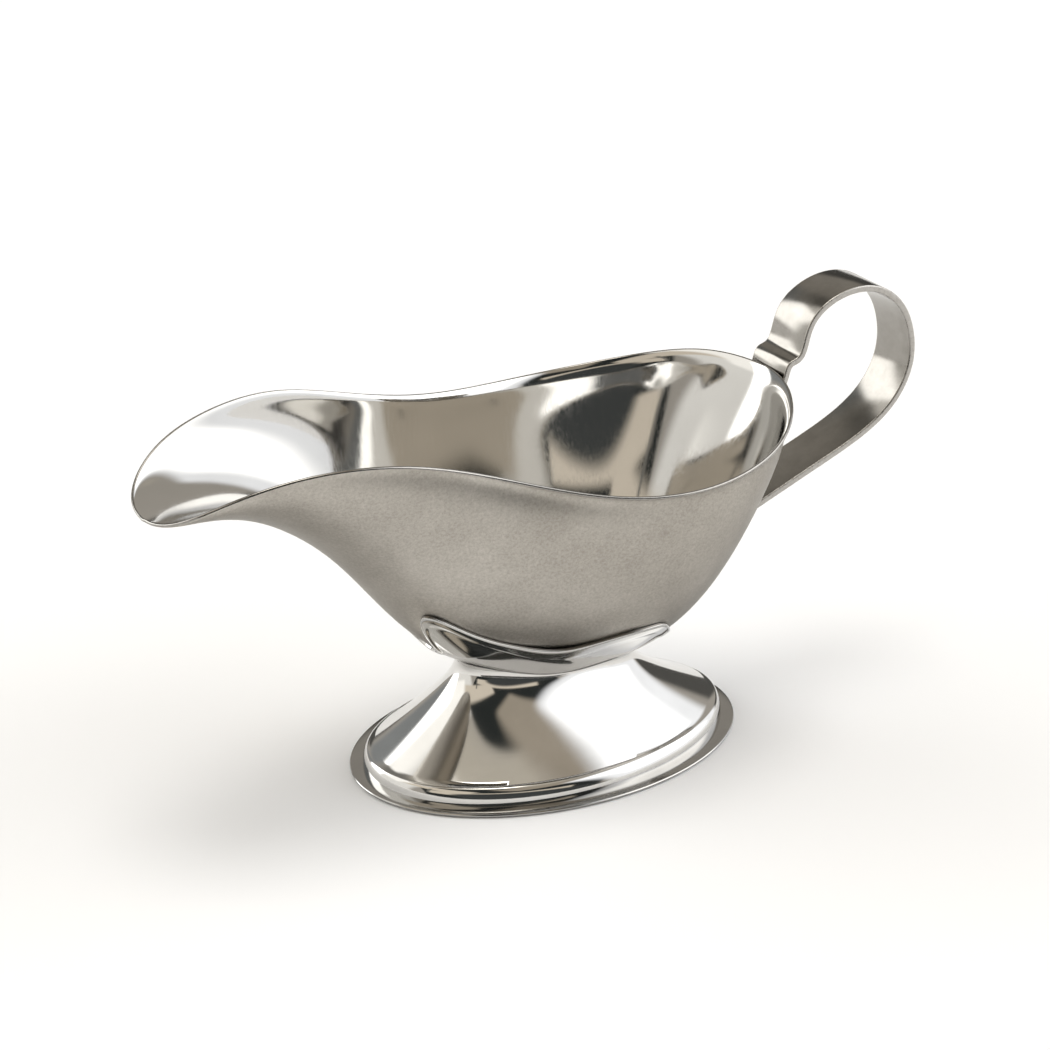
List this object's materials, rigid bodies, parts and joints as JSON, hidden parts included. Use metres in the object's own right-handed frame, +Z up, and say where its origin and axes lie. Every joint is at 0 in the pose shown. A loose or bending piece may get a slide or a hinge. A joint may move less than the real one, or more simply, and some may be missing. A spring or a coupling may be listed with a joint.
{
  "type": "gravy boat",
  "caption": "Footed stainless steel gravy boat: long-spouted oval bowl with a flared lip, on a saddle and a stepped hollow oval foot, with a looped strap handle.",
  "frame": {"origin": "centre of the object's bounding box in X and Y, at the foot's underside, within a millimetre of the foot's own centre", "axes": "+X from the spout to the handle, +Y across the bowl, +Z up"},
  "size_m": [0.2081, 0.0798, 0.0999],
  "materials": {
    "satin_bowl": "satin outside, finely brushed and polished inside",
    "polished_saddle": "mirror-polished stainless steel",
    "polished_foot": "mirror-polished stainless steel with faint brushing",
    "brushed_strap": "satin faces with brighter cut edges"
  },
  "bodies": {
    "root": {"bowl": "satin_bowl", "saddle": "polished_saddle", "foot": "polished_foot", "handle": "brushed_strap"}
  },
  "joints": []
}
